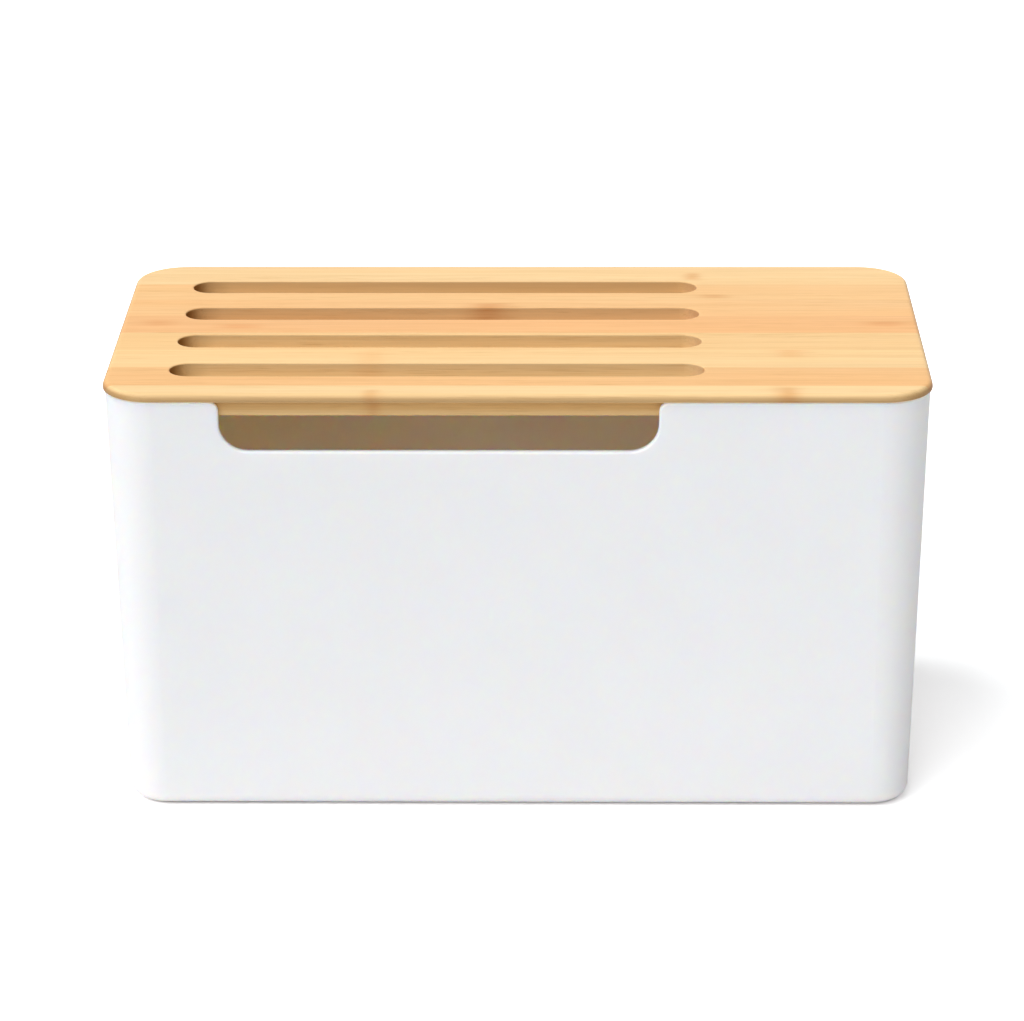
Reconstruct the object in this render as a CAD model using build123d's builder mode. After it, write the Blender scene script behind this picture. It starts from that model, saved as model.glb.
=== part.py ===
from build123d import *
from math import radians, tan
import os

# Desk-top cable management box: a white moulded box with a cable notch in its front rim,
# closed by a lift-off lid of laminated bamboo with four grooves that phones and tablets
# stand in, above the notch that their charging leads come out of.
#
# Millimetres, +Z up, X along the length, Y from front to back. The origin is the centre
# of the footprint, on the surface that the box stands on.

# ---------------------------------------------------------------- driving dimensions
# Box shell, measured outside at the rim
shell_length = 298.6
shell_depth = 153.4
shell_height = 160.7          # underside to rim
shell_corner_radius = 18.0    # the four upright corners, at the rim
shell_wall = 2.8
shell_floor = 3.0
draft_angle = 1.25            # degrees that the walls lean in towards the floor
base_edge_radius = 5.0        # outside, round the underside
floor_edge_radius = 2.0       # inside, round the floor
rim_round = 1.0               # softened edges of the rim and the notch

# Cable notch in the front rim
notch_width = 158.0
notch_inset = 42.3            # left side of the shell to the notch
notch_drop = 19.0             # rim to the bottom of the notch
notch_bottom_radius = 10.5
notch_shoulder_radius = 4.0   # where the sides of the notch turn over into the rim

# Bamboo lid: a board whose underside is stepped, so that it drops inside the rim
lid_overhang = 0.7            # past the outside of the rim, all round
flange_thickness = 3.0        # the part of the board that lies on the rim
plug_drop = 6.4               # the part of the board that drops inside the rim
plug_clearance = 0.3          # between the foot of the plug and the shell's inner wall
lid_top_round = 2.2
flange_under_chamfer = 0.2
plug_edge_round = 0.8

# Staves that the lid is glued up from, front to back: they share its depth in proportion
# to these widths, and the outer two are trimmed when the board is cut to size
stave_widths = (10.3, 20.15, 20.15, 20.15, 20.15, 19.55, 19.55, 21.4, 3.4)

# Grooves in the top of the lid, one for each device that stands in it
groove_count = 4
groove_pitch = 32.9
groove_length = 194.6
groove_width = 14.6
groove_floor = 4.0            # wood left under a groove
groove_inset = 23.3           # left side of the lid to the grooves
groove_set_back = 0.1         # middle of the row of grooves, behind the middle of the lid
groove_edge_round = 0.6

# Rubber feet, each held in a round recess in the underside
foot_radius = 6.5
foot_stand = 0.8              # how far the feet hold the shell off the table
foot_recess = 1.2             # how far a foot goes into the shell
foot_fit = 0.3                # room round a foot in its recess
foot_inset = 24.0             # middle of a foot, in from both sides of the underside
foot_edge_round = 0.4

# ---------------------------------------------------------------- heights and outlines
underside_z = foot_stand
floor_z = underside_z + shell_floor
rim_z = underside_z + shell_height
notch_bottom_z = rim_z - notch_drop
plug_bottom_z = rim_z - plug_drop
lid_top_z = rim_z + flange_thickness
groove_bottom_z = plug_bottom_z + groove_floor


def drawn_in(drop):
    """How far a drafted wall has moved in, at a depth below the rim."""
    return drop * tan(radians(draft_angle))


cavity_length = shell_length - 2 * shell_wall
cavity_depth = shell_depth - 2 * shell_wall
cavity_corner_radius = shell_corner_radius - shell_wall

lid_length = shell_length + 2 * lid_overhang
lid_depth = shell_depth + 2 * lid_overhang
lid_corner_radius = shell_corner_radius + lid_overhang

plug_gap = plug_clearance + drawn_in(plug_drop)
plug_length = cavity_length - 2 * plug_gap
plug_depth = cavity_depth - 2 * plug_gap
plug_corner_radius = cavity_corner_radius - plug_gap

foot_spacing_x = shell_length - 2 * drawn_in(shell_height) - 2 * foot_inset
foot_spacing_y = shell_depth - 2 * drawn_in(shell_height) - 2 * foot_inset

height_tolerance = 0.01


def at_height(edges, z):
    """The edges that lie level at one height."""
    return edges.filter_by_position(Axis.Z, z - height_tolerance, z + height_tolerance)


def runs_through_wall(edge):
    """True for an edge of the notch that goes from the front of the wall to its back."""
    return abs(edge.tangent_at(0.5).Y) > 0.9 and edge.length < 2 * shell_wall


def borders_the_rim(edge):
    """True for every edge of the rim and the notch that has to be softened."""
    return edge.bounding_box().min.Z > notch_bottom_z - height_tolerance and not runs_through_wall(edge)


# ---------------------------------------------------------------- box shell
with BuildPart() as box_shell:
    # Outer form, drawn from the rim down to the underside
    rim_looking_down = Plane(origin=(0, 0, rim_z), x_dir=(1, 0, 0), z_dir=(0, 0, -1))
    with BuildSketch(rim_looking_down):
        RectangleRounded(shell_length, shell_depth, shell_corner_radius)
    extrude(amount=shell_height, taper=draft_angle)
    fillet(at_height(box_shell.edges(), underside_z), radius=base_edge_radius)

    # Cavity
    with BuildSketch(rim_looking_down):
        RectangleRounded(cavity_length, cavity_depth, cavity_corner_radius)
    extrude(amount=shell_height - shell_floor, taper=draft_angle, mode=Mode.SUBTRACT)
    fillet(at_height(box_shell.edges(), floor_z), radius=floor_edge_radius)

    # Cable notch, cut through the front wall
    notch_middle_x = -shell_length / 2 + notch_inset + notch_width / 2
    with BuildSketch(Plane.XZ.offset(shell_depth / 2)) as notch:
        with Locations((notch_middle_x, rim_z)):
            Rectangle(notch_width, 2 * notch_drop)
        fillet(notch.vertices().group_by(Axis.Y)[0], radius=notch_bottom_radius)
    extrude(amount=2 * shell_wall, both=True, mode=Mode.SUBTRACT)
    shoulders = at_height(box_shell.edges(), rim_z).filter_by(runs_through_wall)
    fillet(shoulders, radius=notch_shoulder_radius)
    fillet(box_shell.edges().filter_by(borders_the_rim), radius=rim_round)

    # Recesses for the feet
    with BuildSketch(Plane.XY.offset(underside_z)):
        with GridLocations(foot_spacing_x, foot_spacing_y, 2, 2):
            Circle(foot_radius + foot_fit)
    extrude(amount=foot_recess, mode=Mode.SUBTRACT)

# ---------------------------------------------------------------- lid, as one glued board
with BuildPart() as lid_board:
    # Flange that lies on the rim
    with BuildSketch(Plane.XY.offset(rim_z)):
        RectangleRounded(lid_length, lid_depth, lid_corner_radius)
    extrude(amount=flange_thickness)
    fillet(at_height(lid_board.edges(), lid_top_z), radius=lid_top_round)
    chamfer(at_height(lid_board.edges(), rim_z), length=flange_under_chamfer)

    # Plug that drops inside the rim
    with BuildSketch(Plane.XY.offset(rim_z)):
        RectangleRounded(plug_length, plug_depth, plug_corner_radius)
    extrude(amount=-plug_drop)
    fillet(at_height(lid_board.edges(), plug_bottom_z), radius=plug_edge_round)

    # Grooves for the devices
    groove_middle_x = -lid_length / 2 + groove_inset + groove_length / 2
    with BuildSketch(Plane.XY.offset(lid_top_z)):
        with Locations((groove_middle_x, groove_set_back)):
            with GridLocations(0, groove_pitch, 1, groove_count):
                SlotOverall(groove_length, groove_width)
    extrude(amount=groove_bottom_z - lid_top_z, mode=Mode.SUBTRACT)
    lid_top = lid_board.faces().sort_by(Axis.Z)[-1]
    groove_lips = [edge for wire in lid_top.inner_wires() for edge in wire.edges()]
    fillet(groove_lips, radius=groove_edge_round)

# ---------------------------------------------------------------- lid staves, cut from the board
widening = lid_depth / sum(stave_widths)
glue_lines = [-lid_depth / 2 + widening * sum(stave_widths[:i]) for i in range(1, len(stave_widths))]
stave_fronts = [-lid_depth / 2, *glue_lines]
stave_backs = [*glue_lines, lid_depth / 2]

staves = []
for number, (front, back) in enumerate(zip(stave_fronts, stave_backs), start=1):
    with BuildPart() as stave:
        add(lid_board.part)
        with BuildSketch(Plane.XY.offset(plug_bottom_z)):
            with Locations((0, (front + back) / 2)):
                Rectangle(lid_length, back - front)
        extrude(amount=lid_top_z - plug_bottom_z, mode=Mode.INTERSECT)
    stave.part.label = f"lid_stave_{number}"
    staves.append(stave.part)

# ---------------------------------------------------------------- rubber feet
feet = []
for end, y in (("front", -foot_spacing_y / 2), ("rear", foot_spacing_y / 2)):
    for side, x in (("left", -foot_spacing_x / 2), ("right", foot_spacing_x / 2)):
        with BuildPart() as foot:
            with BuildSketch(Plane.XY):
                with Locations((x, y)):
                    Circle(foot_radius)
            extrude(amount=foot_stand + foot_recess)
            fillet(at_height(foot.edges(), 0), radius=foot_edge_round)
        foot.part.label = f"foot_{end}_{side}"
        feet.append(foot.part)

# ---------------------------------------------------------------- one file for each piece
box_shell.part.label = "box_shell"

os.makedirs("parts", exist_ok=True)
for piece in (box_shell.part, *staves, *feet):
    export_step(piece, f"parts/{piece.label}.step")
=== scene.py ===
import math

import bmesh
import bpy
from mathutils import Matrix, Vector

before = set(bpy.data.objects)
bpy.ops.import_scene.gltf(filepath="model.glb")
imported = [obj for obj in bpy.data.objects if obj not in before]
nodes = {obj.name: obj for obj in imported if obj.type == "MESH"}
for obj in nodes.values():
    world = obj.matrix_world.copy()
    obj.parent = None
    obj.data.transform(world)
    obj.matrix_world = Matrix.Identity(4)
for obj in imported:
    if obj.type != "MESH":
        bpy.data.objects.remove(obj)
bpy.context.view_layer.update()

# ---------------------------------------------------------------- box shell
# One injection-moulded box in white plastic, open at the top, with a cable notch in its
# front rim. The lid drops into it and four feet are glued under it. The mould was
# spark-eroded, which leaves a silky grain, and the thin walls let some daylight through.
PLASTIC_WHITE = (0.914, 0.854, 0.848, 1)
PLASTIC_SHADE = (0.903, 0.844, 0.839, 1)   # the faint cloudiness of the moulding
PLASTIC_SPECULAR = 0.45
PLASTIC_ROUGHNESS = (0.40, 0.50)
PLASTIC_GRAIN = 1900                       # grains of the eroded skin in a metre
PLASTIC_CLOUDS = 28.0                      # clouds in a metre
CLOUD_RANGE = (0.35, 0.65)                 # the part of the noise that the clouds take up
PLASTIC_GRAIN_RANGE = (0.3, 0.7)
PLASTIC_GRAIN_DEPTH = 0.00003
PLASTIC_GRAIN_STRENGTH = 0.35
PLASTIC_LETS_THROUGH = 0.0058              # how far red light spreads in the plastic
PLASTIC_SPREAD = (1.0, 0.69, 0.42)         # and green and blue, as shares of that
LIP_PAINTED_HIGHLIGHT = (1.0, 0.970, 0.920, 1)         # a painted highlight on the lip of the rim and the notch, which is also glossy
LIP_POLISH = 0.8
LIP_ROUGHNESS = 0.15
LIP_TURNS_FROM_WALL = (0.985, 0.88)        # where the skin's normal has this much of Y, the lip
LIP_TURNS_UP = (0.25, 0.60)                # starts and is whole, and the same for Z
LIP_BOTTOM = 0.1385                        # nothing below this height belongs to the lip
RIM_BOTTOM = 0.1600                        # on the walls the lip begins here,
RIM_BLUR = 0.0006                          # and is whole this far above
NOTCH_MIDDLE = -0.0280
NOTCH_REACH = 0.0835                       # from its middle to past its shoulders


def node_maker(tree):
    """Returns a function that adds a node to a tree, with its settings and its inputs."""
    def make(kind, inputs=None, **settings):
        node = tree.nodes.new(kind)
        for name, value in settings.items():
            setattr(node, name, value)
        for socket, value in (inputs or {}).items():
            if isinstance(value, bpy.types.NodeSocket):
                tree.links.new(value, node.inputs[socket])
            else:
                node.inputs[socket].default_value = value
        return node
    return make


def math_maker(make):
    """Returns a function that adds a Math node and gives its value."""
    def calculate(operation, *values):
        return make("ShaderNodeMath", dict(enumerate(values)), operation=operation).outputs[0]
    return calculate


def spread_maker(make):
    """Returns a function that adds a Map Range node and gives its value."""
    def spread(value, painted_edge_shade, high, to_low=0.0, to_high=1.0, **settings):
        return make("ShaderNodeMapRange", {
            "Value": value, "From Min": painted_edge_shade, "From Max": high,
            "To Min": to_low, "To Max": to_high}, **settings).outputs[0]
    return spread


def new_group(name, takes, gives):
    """An empty shader group: takes and gives map a socket's name to its type."""
    tree = bpy.data.node_groups.new(name, "ShaderNodeTree")
    for socket, kind in takes.items():
        tree.interface.new_socket(socket, in_out="INPUT", socket_type="NodeSocket" + kind)
    for socket, kind in gives.items():
        tree.interface.new_socket(socket, in_out="OUTPUT", socket_type="NodeSocket" + kind)
    return tree


def new_material(name, **shader):
    """A material with one Principled shader, whose even values are set on its own sockets.

    Gives the material's links, a function that adds a node to it, and the shader.
    """
    material = bpy.data.materials.new(name)
    material.use_nodes = True
    tree = material.node_tree
    tree.nodes.clear()
    make = node_maker(tree)
    principled = make("ShaderNodeBsdfPrincipled", {
        socket.replace("_", " "): value for socket, value in shader.items()})
    make("ShaderNodeOutputMaterial", {"Surface": principled.outputs[0]})
    return material, tree.links, make, principled


def dress(node_name, material):
    """Puts a material on every slot of a node of the frame."""
    piece = nodes[node_name]
    for material_slot in piece.material_slots:
        material_slot.material = material


# Moulded skin: a fine grain from the tool, and a slow cloudiness from the flow of the melt
moulded_skin = new_group("moulded_skin", {"Grain": "Float", "Cloud": "Float"},
                         {"Height": "Float", "Cloudiness": "Float"})
make = node_maker(moulded_skin)
spread = spread_maker(make)
given = make("NodeGroupInput").outputs
place = make("ShaderNodeTexCoord").outputs["Object"]
grain = make("ShaderNodeTexNoise", {
    "Vector": place, "Scale": given["Grain"], "Detail": 2.0, "Roughness": 0.6}).outputs[0]
cloud = make("ShaderNodeTexNoise", {
    "Vector": place, "Scale": given["Cloud"], "Detail": 3.0, "Roughness": 0.55}).outputs[0]
make("NodeGroupOutput", {"Height": grain, "Cloudiness": spread(cloud, *CLOUD_RANGE)})

# Lip: the rounded edges of the rim and of the notch, where the two halves of the mould meet, the
# faces turned up near them and the band just under the lid: lighter by a painted highlight, and
# given a glossy coat
lip_highlight_and_polish = new_group("lip_highlight_and_polish", {}, {"Lip": "Float"})
make = node_maker(lip_highlight_and_polish)
calculate = math_maker(make)
spread = spread_maker(make)
place = make("ShaderNodeTexCoord").outputs
axes = make("ShaderNodeSeparateXYZ", {"Vector": place["Object"]}).outputs
facing = make("ShaderNodeSeparateXYZ", {"Vector": place["Normal"]}).outputs
from_middle = calculate("ABSOLUTE", calculate("SUBTRACT", axes["X"], NOTCH_MIDDLE))
in_notch = calculate("MULTIPLY", calculate("LESS_THAN", from_middle, NOTCH_REACH),
                     calculate("LESS_THAN", axes["Y"], 0.0))
turned = spread(calculate("ABSOLUTE", facing["Y"]), *LIP_TURNS_FROM_WALL)
level = spread(facing["Z"], *LIP_TURNS_UP)
under_lid = spread(axes["Z"], RIM_BOTTOM, RIM_BOTTOM + RIM_BLUR)
highlight_and_polish = calculate("MAXIMUM", calculate("MULTIPLY", in_notch, turned), level)
highlight_and_polish = calculate("MAXIMUM", highlight_and_polish, under_lid)
highlight_and_polish = calculate("MULTIPLY", highlight_and_polish, calculate("GREATER_THAN", axes["Z"], LIP_BOTTOM))
make("NodeGroupOutput", {"Lip": highlight_and_polish})

white_plastic, links, make, principled = new_material(
    "white_plastic", Specular_IOR_Level=PLASTIC_SPECULAR, Coat_Roughness=LIP_ROUGHNESS,
    Subsurface_Weight=1.0, Subsurface_Radius=PLASTIC_SPREAD,
    Subsurface_Scale=PLASTIC_LETS_THROUGH)
spread = spread_maker(make)
skin = make("ShaderNodeGroup", {"Grain": PLASTIC_GRAIN, "Cloud": PLASTIC_CLOUDS},
            node_tree=moulded_skin)
tint = make("ShaderNodeMix", {0: skin.outputs["Cloudiness"], 6: PLASTIC_WHITE, 7: PLASTIC_SHADE},
            data_type="RGBA")
highlight_and_polish = make("ShaderNodeGroup", node_tree=lip_highlight_and_polish).outputs["Lip"]
# the lip's base colour carries a painted highlight
painted_highlit = make("ShaderNodeMix", {0: highlight_and_polish, 6: tint.outputs[2], 7: LIP_PAINTED_HIGHLIGHT}, data_type="RGBA")
links.new(painted_highlit.outputs[2], principled.inputs["Base Color"])
polish = make("ShaderNodeMath", {0: highlight_and_polish, 1: LIP_POLISH}, operation="MULTIPLY").outputs[0]
links.new(polish, principled.inputs["Coat Weight"])
sheen = spread(skin.outputs["Height"], *PLASTIC_GRAIN_RANGE, *PLASTIC_ROUGHNESS)
links.new(sheen, principled.inputs["Roughness"])
relief = make("ShaderNodeBump", {
    "Height": skin.outputs["Height"], "Strength": PLASTIC_GRAIN_STRENGTH,
    "Distance": PLASTIC_GRAIN_DEPTH})
links.new(relief.outputs[0], principled.inputs["Normal"])
dress("box_shell", white_plastic)

# ---------------------------------------------------------------- rubber feet
# Four round pads of grey rubber, die-cut with a softened lower edge and glued into
# recesses in the underside. They hold the shell 0.8 mm off the table.
RUBBER_GREY = (0.30, 0.30, 0.30, 1)
RUBBER_DUST = (0.36, 0.355, 0.345, 1)
RUBBER_ROUGHNESS = 0.72
RUBBER_SPECULAR = 0.35
RUBBER_GRAIN = 2600
RUBBER_CLOUDS = 220.0
RUBBER_GRAIN_DEPTH = 0.00006
RUBBER_GRAIN_STRENGTH = 0.5

foot_rubber, links, make, principled = new_material(
    "foot_rubber", Roughness=RUBBER_ROUGHNESS, Specular_IOR_Level=RUBBER_SPECULAR)
skin = make("ShaderNodeGroup", {"Grain": RUBBER_GRAIN, "Cloud": RUBBER_CLOUDS},
            node_tree=moulded_skin)
tint = make("ShaderNodeMix", {0: skin.outputs["Cloudiness"], 6: RUBBER_GREY, 7: RUBBER_DUST},
            data_type="RGBA")
links.new(tint.outputs[2], principled.inputs["Base Color"])
relief = make("ShaderNodeBump", {
    "Height": skin.outputs["Height"], "Strength": RUBBER_GRAIN_STRENGTH,
    "Distance": RUBBER_GRAIN_DEPTH})
links.new(relief.outputs[0], principled.inputs["Normal"])
for end in ("front", "rear"):
    for side in ("left", "right"):
        dress(f"foot_{end}_{side}", foot_rubber)

# ---------------------------------------------------------------- lid staves
# The lid is one board glued up from nine lengthwise bamboo strips, each split from a
# different stalk and so a different tone. It is milled, sanded and sealed with matt oil, and
# lies loose on the rim of the box, with its stepped underside inside it.
#
# The staves from front to back: the tone, the shade where a groove is milled into it, and the
# knots, each with its place along X, its middle and half its reach across Y and its half width,
# all in millimetres, then its strength and how brown it is
MM_IN_A_METRE = 1000
BAMBOO_STAVES = (
    ((0.905, 0.632, 0.314), (0.80, 0.88, 1.00),
     ((-52, -75, 4, 3.0, 0.7, 0.5), (97, -75, 8, 4.5, 1.0, 0.6))),
    ((0.865, 0.496, 0.204), (0.80, 0.88, 1.00), ()),
    ((0.905, 0.607, 0.285), (0.76, 0.84, 0.95),
     ((-54, -36, 9, 5.0, 0.5, 0.0), (100, -30, 6, 6.0, 0.7, 0.2))),
    ((0.885, 0.564, 0.247), (0.80, 0.88, 1.00), ()),
    ((0.865, 0.476, 0.199), (0.80, 0.88, 1.00),
     ((-105, 1, 3, 9.0, 0.7, 0.3), (-136, 5, 4, 7.0, 0.7, 0.5), (137, 4, 3, 8.0, 0.9, 0.5))),
    ((0.885, 0.520, 0.223), (0.74, 0.82, 0.93), ((-12, 24.5, 5, 7.5, 0.9, 1.0),)),
    ((0.880, 0.535, 0.233), (0.80, 0.88, 1.00), ((74, 37.6, 2.5, 6.0, 0.8, 0.9),)),
    ((0.895, 0.607, 0.294), (0.70, 0.69, 0.69), ((67, 63, 5, 3.0, 0.9, 0.6),)),
    ((0.850, 0.559, 0.294), (0.80, 0.88, 1.00), ()),
)
BAMBOO_SPECULAR = 0.30
BAMBOO_ROUGHNESS = (0.58, 0.46)            # in the open vessels, and on the fibres
BAMBOO_RELIEF_DEPTH = 0.00008
BAMBOO_RELIEF_STRENGTH = 0.4

# The layers of the grain, each with its patches in a metre along a strip and across it, and how
# far it moves the brightness and the warmth
GRAIN_SHIFT = 17.3                         # so that no two staves share their fibres
DRIFT_PATCHES = (4.0, 26.0)
DRIFT_BRIGHTNESS = 0.030
DRIFT_WARMTH = -0.05
STREAK_PATCHES = (6.0, 240.0)
STREAK_BRIGHTNESS = 0.030
STREAK_WARMTH = 0.04
FIBRE_PATCHES = (22.0, 1500.0)
FIBRE_BRIGHTNESS = 0.035
VESSEL_PATCHES = (60.0, 3200.0)
VESSEL_BRIGHTNESS = -0.16
VESSEL_WARMTH = -0.12
CROWD_PATCHES = (3.0, 120.0)               # the vessels come in crowds
GREEN_BY_WARMTH = 0.6
BLUE_BY_WARMTH = 1.4

KNOT_PINK = (0.94, 0.76, 0.62, 1)
KNOT_BROWN = (0.78, 0.58, 0.42, 1)
KNOT_WANDER_PATCHES = 90.0                 # a knot wanders, with this many bends in a metre
KNOT_WANDER = 0.004                        # that go this far to and fro
KNOT_STRANDS = (60.0, 1100.0, 1100.0)      # and fibres of this size run through it
KNOT_BREAK = 0.55                          # which leave this much of it at the least
KNOT_SIDE = (1.25, 0.45)                   # it fades between these shares of its reach

LEFT_END_PAINTED_SHADOW = (0.36, 0.22, 0.03, 1)        # painted shadow in the left ends of the grooves, on faces turned away from the lamp on the left
PAINTED_SHADOW_END = -0.113                        # how far along the walls the painted shadow reaches,
PAINTED_SHADOW_LENGTH = 0.009                      # how long it takes to reach its full strength
PAINTED_SHADOW_ON_WALLS = 0.30                     # and how strong that is
RIGHT_END_PAINTED_SHADE = (0.90, 0.85, 0.90, 1)      # and painted shade on the right ends, which face the lamp
SAWN_SHADE = (0.60, 0.55, 0.49, 1)         # the front and back edges of the board
END_SHADE = (0.50, 0.42, 0.33, 1)          # its ends, sawn across the fibres
PLUG_SHADE = (0.65, 0.57, 0.435, 1)        # the edge of the part that drops into the box
PLUG_FOOT_PAINTED_LIGHT = (0.70, 0.66, 0.59, 1)     # and painted light on its foot, out of the shadow of the board's overhang
SAWN_EDGE_X = 0.138                        # nothing milled is as far out as this,
SAWN_EDGE_Y = 0.0655                       # or this: it is the edge of the board
PLUG_TOP = 0.1615                          # the height of the rim
PLUG_LIT_UP_TO = 0.1572                       # the painted light on the plug reaches up to here,
PLUG_BLUR = 0.0006                         # give or take this much
EDGE_LOW = 0.1618                          # painted shade on the board's edge is darkest below this height, where it meets the rim, and gone above this one
EDGE_HIGH = 0.1632                         # where it meets the rim, and even above this one
EDGE_FOOT_PAINTED_SHADE = 0.80
GROOVE_FLOOR = 0.1595                      # painted shade: a groove's wall is lightest down here
GROOVE_LIP = 0.1635                        # and darkest up here
GROOVE_PAINTED_SHADES = (0.97, 0.88)

# Where a face turns from one shade to the next, as shares of its normal: along X for the ends of
# the board and of the grooves, and up or down for the sides
END_TURN = (0.30, 0.80)
PAINTED_SHADOW_TURN = (0.10, 0.95)
RIGHT_END_TURN = (-0.20, -0.80)
MILLED_TURN = (0.25, 0.85)
SAWN_TURN = (0.40, 0.95)

# Bamboo: fine fibres along X in a paler pith, gathered in streaks. A strip takes other shades on
# its milled and sawn sides, darker ones at its ends, and painted light and shade on the plug, at
# its edge's foot and in the grooves.
bamboo_grain_and_painted_shade = new_group(
    "bamboo_grain_and_painted_shade", {"Tone": "Color", "Milled": "Color", "Seed": "Float"},
    {"Color": "Color", "Fibre": "Float"})
make = node_maker(bamboo_grain_and_painted_shade)
calculate = math_maker(make)
spread = spread_maker(make)
given = make("NodeGroupInput").outputs
place = make("ShaderNodeTexCoord")
shift = make("ShaderNodeCombineXYZ", {"X": given["Seed"], "Y": given["Seed"], "Z": given["Seed"]})


def stretched_noise(along, across, detail, roughness=0.5):
    """Noise drawn out along the strip: patches per metre along X, and across it."""
    scaled = make("ShaderNodeVectorMath", {
        0: place.outputs["Object"], 1: (along, across, across)}, operation="MULTIPLY")
    moved = make("ShaderNodeVectorMath", {
        0: scaled.outputs[0], 1: shift.outputs[0]}, operation="ADD")
    return make("ShaderNodeTexNoise", {
        "Vector": moved.outputs[0], "Scale": 1.0, "Detail": detail,
        "Roughness": roughness}).outputs[0]


drift = spread(stretched_noise(*DRIFT_PATCHES, 2.0), 0.3, 0.7, -1.0, 1.0)
streaks = spread(stretched_noise(*STREAK_PATCHES, 3.0, 0.6), 0.3, 0.7, -1.0, 1.0)
fibres = spread(stretched_noise(*FIBRE_PATCHES, 2.0, 0.6), 0.35, 0.65, -1.0, 1.0)
vessels = spread(stretched_noise(*VESSEL_PATCHES, 1.0), 0.60, 0.70)
crowd = spread(stretched_noise(*CROWD_PATCHES, 1.0), 0.4, 0.65, 0.15, 1.0)
vessels = calculate("MULTIPLY", vessels, crowd)

brightness = calculate("MULTIPLY_ADD", drift, DRIFT_BRIGHTNESS, 1.0)
brightness = calculate("MULTIPLY_ADD", streaks, STREAK_BRIGHTNESS, brightness)
brightness = calculate("MULTIPLY_ADD", fibres, FIBRE_BRIGHTNESS, brightness)
brightness = calculate("MULTIPLY_ADD", vessels, VESSEL_BRIGHTNESS, brightness)
warmth = calculate("MULTIPLY_ADD", drift, DRIFT_WARMTH, 1.0)
warmth = calculate("MULTIPLY_ADD", streaks, STREAK_WARMTH, warmth)
warmth = calculate("MULTIPLY_ADD", vessels, VESSEL_WARMTH, warmth)
parts = make("ShaderNodeSeparateColor", {"Color": given["Tone"]})
red = calculate("MULTIPLY", parts.outputs[0], brightness)
green = calculate("MULTIPLY", calculate("MULTIPLY", parts.outputs[1], brightness),
                  calculate("POWER", warmth, GREEN_BY_WARMTH))
blue = calculate("MULTIPLY", calculate("MULTIPLY", parts.outputs[2], brightness),
                 calculate("POWER", warmth, BLUE_BY_WARMTH))
flat = make("ShaderNodeCombineColor", {"Red": red, "Green": green, "Blue": blue})
facing = make("ShaderNodeSeparateXYZ", {"Vector": place.outputs["Normal"]}).outputs
up_or_down = calculate("ABSOLUTE", facing["Z"])
axes = make("ShaderNodeSeparateXYZ", {"Vector": place.outputs["Object"]}).outputs
past_x = calculate("SUBTRACT", calculate("ABSOLUTE", axes["X"]), SAWN_EDGE_X)
past_y = calculate("SUBTRACT", calculate("ABSOLUTE", axes["Y"]), SAWN_EDGE_Y)
outside = calculate("GREATER_THAN", calculate("MAXIMUM", past_x, past_y), 0.0)
end = spread(calculate("ABSOLUTE", facing["X"]), *END_TURN)
in_the_box = calculate("LESS_THAN", axes["Z"], PLUG_TOP)


def shade_where(mask, without, within):
    """One shade where a mask is 0 and another where it is 1."""
    return make("ShaderNodeMix", {0: mask, 6: without, 7: within}, data_type="RGBA").outputs[2]


# the plug's edge, with painted light on its foot
plug_shade_and_painted_light = shade_where(spread(axes["Z"], PLUG_LIT_UP_TO + PLUG_BLUR, PLUG_LIT_UP_TO - PLUG_BLUR),
                         PLUG_SHADE, PLUG_FOOT_PAINTED_LIGHT)
# painted shade at the foot of the board's edge, where it sits on the rim
painted_edge_shade = spread(axes["Z"], EDGE_LOW, EDGE_HIGH, EDGE_FOOT_PAINTED_SHADE, 1.0)
sawn_shade = shade_where(end, SAWN_SHADE, END_SHADE)
sawn_shade = make(
    "ShaderNodeVectorMath", {0: sawn_shade, "Scale": painted_edge_shade}, operation="SCALE").outputs[0]
edge_shade = shade_where(in_the_box, sawn_shade, plug_shade_and_painted_light)
# painted shadow at the left ends of the grooves, on the end walls and along the walls near them
painted_shadow_on_walls = spread(
    axes["X"], PAINTED_SHADOW_END, PAINTED_SHADOW_END - PAINTED_SHADOW_LENGTH, 0.0, PAINTED_SHADOW_ON_WALLS)
painted_shadow = calculate("MAXIMUM", spread(facing["X"], *PAINTED_SHADOW_TURN), painted_shadow_on_walls)
left_end_shadowed = shade_where(painted_shadow, (1, 1, 1, 1), LEFT_END_PAINTED_SHADOW)
# painted shade on the right ends of the grooves, over the painted shadow on the left ends
ends_painted_shade = shade_where(spread(facing["X"], *RIGHT_END_TURN), left_end_shadowed, RIGHT_END_PAINTED_SHADE)
# painted shade on the groove walls, darker towards their lip
painted_depth_shade = spread(axes["Z"], GROOVE_FLOOR, GROOVE_LIP, *GROOVE_PAINTED_SHADES)
milled_shade = make("ShaderNodeVectorMath", {
    0: given["Milled"], 1: ends_painted_shade}, operation="MULTIPLY").outputs[0]
milled_shade = make(
    "ShaderNodeVectorMath", {0: milled_shade, "Scale": painted_depth_shade}, operation="SCALE").outputs[0]
side_shade = shade_where(outside, milled_shade, edge_shade)
milled_side = spread(up_or_down, *MILLED_TURN, 1.0, 0.0)
sawn_side = spread(up_or_down, *SAWN_TURN, 1.0, 0.0)
more_when_sawn = calculate("SUBTRACT", sawn_side, milled_side)
side = calculate("MULTIPLY_ADD", outside, more_when_sawn, milled_side)
sawn = make("ShaderNodeMix", {0: side, 6: flat.outputs[0], 7: side_shade},
            data_type="RGBA", blend_type="MULTIPLY")
fibre = calculate("MULTIPLY_ADD", vessels, -0.8, calculate("MULTIPLY_ADD", fibres, 0.3, 0.5))
make("NodeGroupOutput", {"Color": sawn.outputs[2], "Fibre": fibre})

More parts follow.
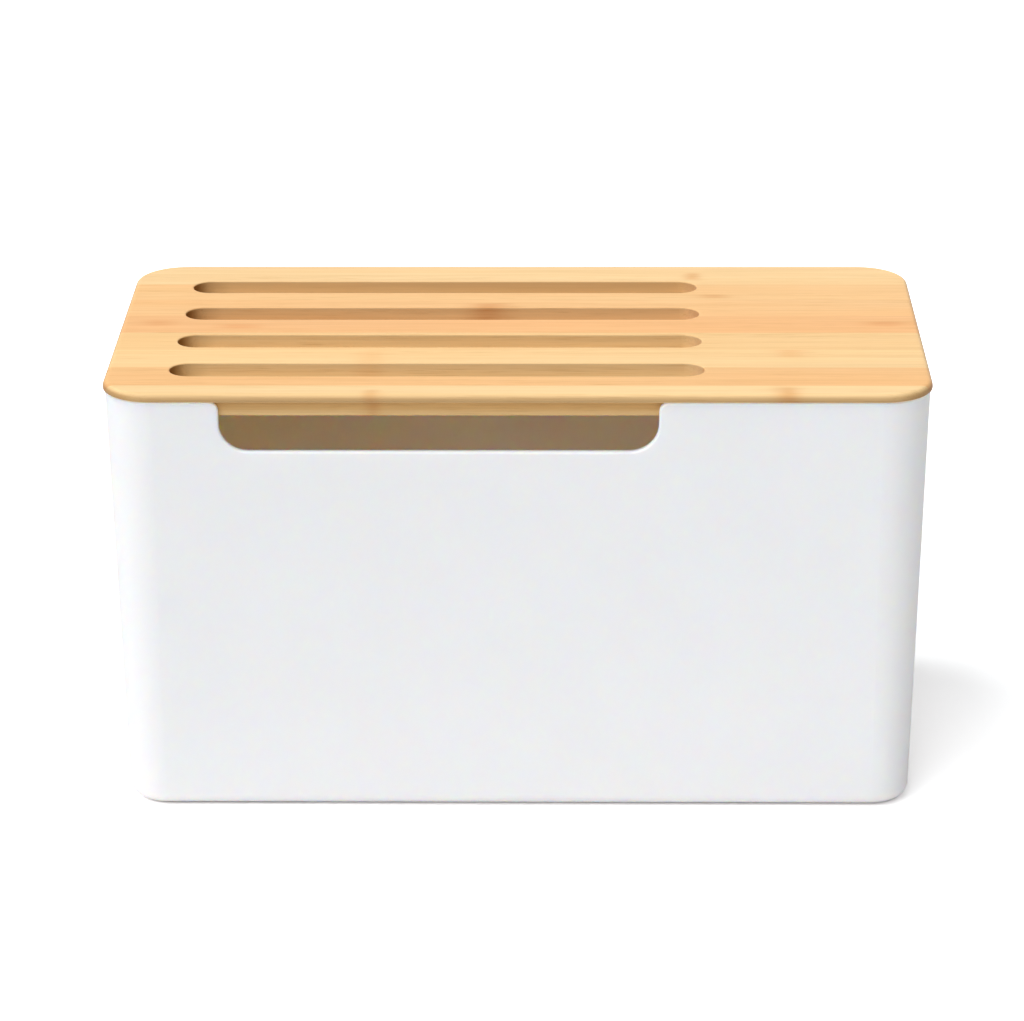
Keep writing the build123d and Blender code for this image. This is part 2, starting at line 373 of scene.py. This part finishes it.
# Knot: the ring where the stalk had a joint, seen as a soft pink or brown band across the
# strip, with darker fibres running through it
bamboo_knot = new_group("bamboo_knot", {
    "Color": "Color", "Along": "Float", "Across": "Float", "Reach": "Float",
    "Width": "Float", "Strength": "Float", "Brown": "Float"}, {"Color": "Color"})
make = node_maker(bamboo_knot)
calculate = math_maker(make)
spread = spread_maker(make)
given = make("NodeGroupInput").outputs
place = make("ShaderNodeTexCoord").outputs["Object"]
wander = make("ShaderNodeTexNoise", {
    "Vector": place, "Scale": KNOT_WANDER_PATCHES, "Detail": 2.0}).outputs[0]
strand = make("ShaderNodeVectorMath", {0: place, 1: KNOT_STRANDS}, operation="MULTIPLY")
strand = make("ShaderNodeTexNoise", {
    "Vector": strand.outputs[0], "Scale": 1.0, "Detail": 2.0}).outputs[0]
axes = make("ShaderNodeSeparateXYZ", {"Vector": place}).outputs
off = calculate("SUBTRACT", axes["X"], given["Along"])
off = calculate("MULTIPLY_ADD", calculate("SUBTRACT", wander, 0.5), KNOT_WANDER, off)
off = calculate("DIVIDE", off, given["Width"])
band = calculate("EXPONENT", calculate("MULTIPLY", calculate("MULTIPLY", off, off), -1.0))
aside = calculate("ABSOLUTE", calculate("SUBTRACT", axes["Y"], given["Across"]))
aside = calculate("DIVIDE", aside, given["Reach"])
aside = spread(aside, *KNOT_SIDE, interpolation_type="SMOOTHSTEP")
broken = spread(strand, 0.3, 0.7, KNOT_BREAK, 1.0)
amount = calculate("MULTIPLY", calculate("MULTIPLY", band, aside), given["Strength"])
amount = calculate("MULTIPLY", amount, broken)
stain = make("ShaderNodeMix", {0: given["Brown"], 6: KNOT_PINK, 7: KNOT_BROWN}, data_type="RGBA")
stained = make("ShaderNodeMix", {0: amount, 6: given["Color"], 7: stain.outputs[2]},
               data_type="RGBA", blend_type="MULTIPLY")
make("NodeGroupOutput", {"Color": stained.outputs[2]})

for number, (tone, milled, knots) in enumerate(BAMBOO_STAVES, start=1):
    bamboo, links, make, principled = new_material(
        f"bamboo_stave_{number}", Specular_IOR_Level=BAMBOO_SPECULAR)
    grain = make("ShaderNodeGroup", {
        "Tone": (*tone, 1), "Seed": GRAIN_SHIFT * number, "Milled": (*milled, 1)},
        node_tree=bamboo_grain_and_painted_shade)
    colour = grain.outputs["Color"]
    for along, across, reach, width, strength, brown in knots:
        knot = make("ShaderNodeGroup", {
            "Color": colour, "Along": along / MM_IN_A_METRE, "Across": across / MM_IN_A_METRE,
            "Reach": reach / MM_IN_A_METRE, "Width": width / MM_IN_A_METRE,
            "Strength": strength, "Brown": brown}, node_tree=bamboo_knot)
        colour = knot.outputs["Color"]
    links.new(colour, principled.inputs["Base Color"])
    spread = spread_maker(make)
    gloss = spread(grain.outputs["Fibre"], 0.0, 1.0, *BAMBOO_ROUGHNESS)
    links.new(gloss, principled.inputs["Roughness"])
    relief = make("ShaderNodeBump", {
        "Height": grain.outputs["Fibre"], "Strength": BAMBOO_RELIEF_STRENGTH,
        "Distance": BAMBOO_RELIEF_DEPTH})
    links.new(relief.outputs[0], principled.inputs["Normal"])
    dress(f"lid_stave_{number}", bamboo)

# ---------------------------------------------------------------- studio
# The box stands on a wide white table in a white room. A broad lamp high on the left gives
# the faces their shape, others fill from above and from the front, and one low behind lights
# the back wall, so that the walls let daylight through into the box.
TABLE_HALF = 3.0
TABLE_WHITE = (0.90, 0.90, 0.90)
TABLE_SEEN = (1.48, 1.51, 1.52)  # the table is lit up past white, so only its shadows show
ROOM_LIGHT = 0.21                # on the box; the walls themselves look white
TOP_FROM = Vector((-0.05, 0.05, 1.0))
TOP_SPREAD = 36                  # degrees across, as seen from the table
TOP_LIGHT = 0.28                 # watts on a square metre
KEY_FROM = Vector((-0.60, -0.10, 0.79))
KEY_SPREAD = 56
KEY_LIGHT = 1.76
FILL_FROM = Vector((-0.22, -0.76, 0.62))
FILL_SPREAD = 50
FILL_LIGHT = 1.45
BACK_FROM = Vector((0.30, 0.95, 0.05))
BACK_SPREAD = 30
BACK_LIGHT = 1.95                # not seen in reflections, or the lid would shine at its back

mesh = bmesh.new()
bmesh.ops.create_grid(mesh, x_segments=2, y_segments=2, size=TABLE_HALF)
table = bpy.data.objects.new("table", bpy.data.meshes.new("table"))
mesh.to_mesh(table.data)
mesh.free()
bpy.context.scene.collection.objects.link(table)
table_white = bpy.data.materials.new("table_white")
table_white.use_nodes = True
tree = table_white.node_tree
tree.nodes.clear()
make = node_maker(tree)
ray = make("ShaderNodeLightPath").outputs
white = make("ShaderNodeMix", {
    0: ray["Is Camera Ray"], 6: (*TABLE_WHITE, 1), 7: (*TABLE_SEEN, 1)}, data_type="RGBA")
diffuse = make("ShaderNodeBsdfDiffuse", {"Color": white.outputs[2]})
make("ShaderNodeOutputMaterial", {"Surface": diffuse.outputs[0]})
table.data.materials.append(table_white)

room = bpy.data.worlds.new("room")
bpy.context.scene.world = room
room.use_nodes = True
tree = room.node_tree
tree.nodes.clear()
make = node_maker(tree)
calculate = math_maker(make)
spread = spread_maker(make)
ray = make("ShaderNodeLightPath").outputs
seen = calculate("MAXIMUM", ray["Is Camera Ray"], ray["Is Glossy Ray"])
seen = calculate("MAXIMUM", seen, ray["Is Transmission Ray"])
strength = spread(seen, 0.0, 1.0, ROOM_LIGHT, 1.0)
background = make("ShaderNodeBackground", {"Color": (1, 1, 1, 1), "Strength": strength})
make("ShaderNodeOutputWorld", {"Surface": background.outputs[0]})

for name, way, across, power in (
        ("top_light", TOP_FROM, TOP_SPREAD, TOP_LIGHT),
        ("key_light", KEY_FROM, KEY_SPREAD, KEY_LIGHT),
        ("fill_light", FILL_FROM, FILL_SPREAD, FILL_LIGHT),
        ("back_light", BACK_FROM, BACK_SPREAD, BACK_LIGHT)):
    light = bpy.data.lights.new(name, "SUN")
    light.angle = math.radians(across)
    light.energy = power
    lamp = bpy.data.objects.new(name, light)
    lamp.location = way.normalized()
    lamp.rotation_euler = way.to_track_quat("Z", "Y").to_euler()
    lamp.visible_glossy = name != "back_light"
    bpy.context.scene.collection.objects.link(lamp)

# ---------------------------------------------------------------- camera
# A long lens, almost square on to the front and looking down on to the lid.
CAMERA_PLACE = Vector((0.01971, -1.39715, 0.62495))
CAMERA_YAW = 0.933               # degrees
CAMERA_PITCH = 20.921
CAMERA_ROLL = -0.281
CAMERA_LENS = 137.66             # mm, on a sensor 36 mm wide

camera = bpy.data.objects.new("camera", bpy.data.cameras.new("camera"))
camera.data.lens = CAMERA_LENS
camera.data.sensor_width = 36
camera.data.sensor_fit = "HORIZONTAL"
camera.data.clip_start = 0.05
camera.data.clip_end = 20
turn = Matrix.Rotation(math.radians(CAMERA_YAW), 3, "Z")
turn = turn @ Matrix.Rotation(math.radians(90 - CAMERA_PITCH), 3, "X")
turn = turn @ Matrix.Rotation(math.radians(CAMERA_ROLL), 3, "Z")
camera.matrix_world = Matrix.Translation(CAMERA_PLACE) @ turn.to_4x4()
bpy.context.scene.collection.objects.link(camera)
bpy.context.scene.camera = camera
bpy.context.scene.view_settings.view_transform = "Standard"
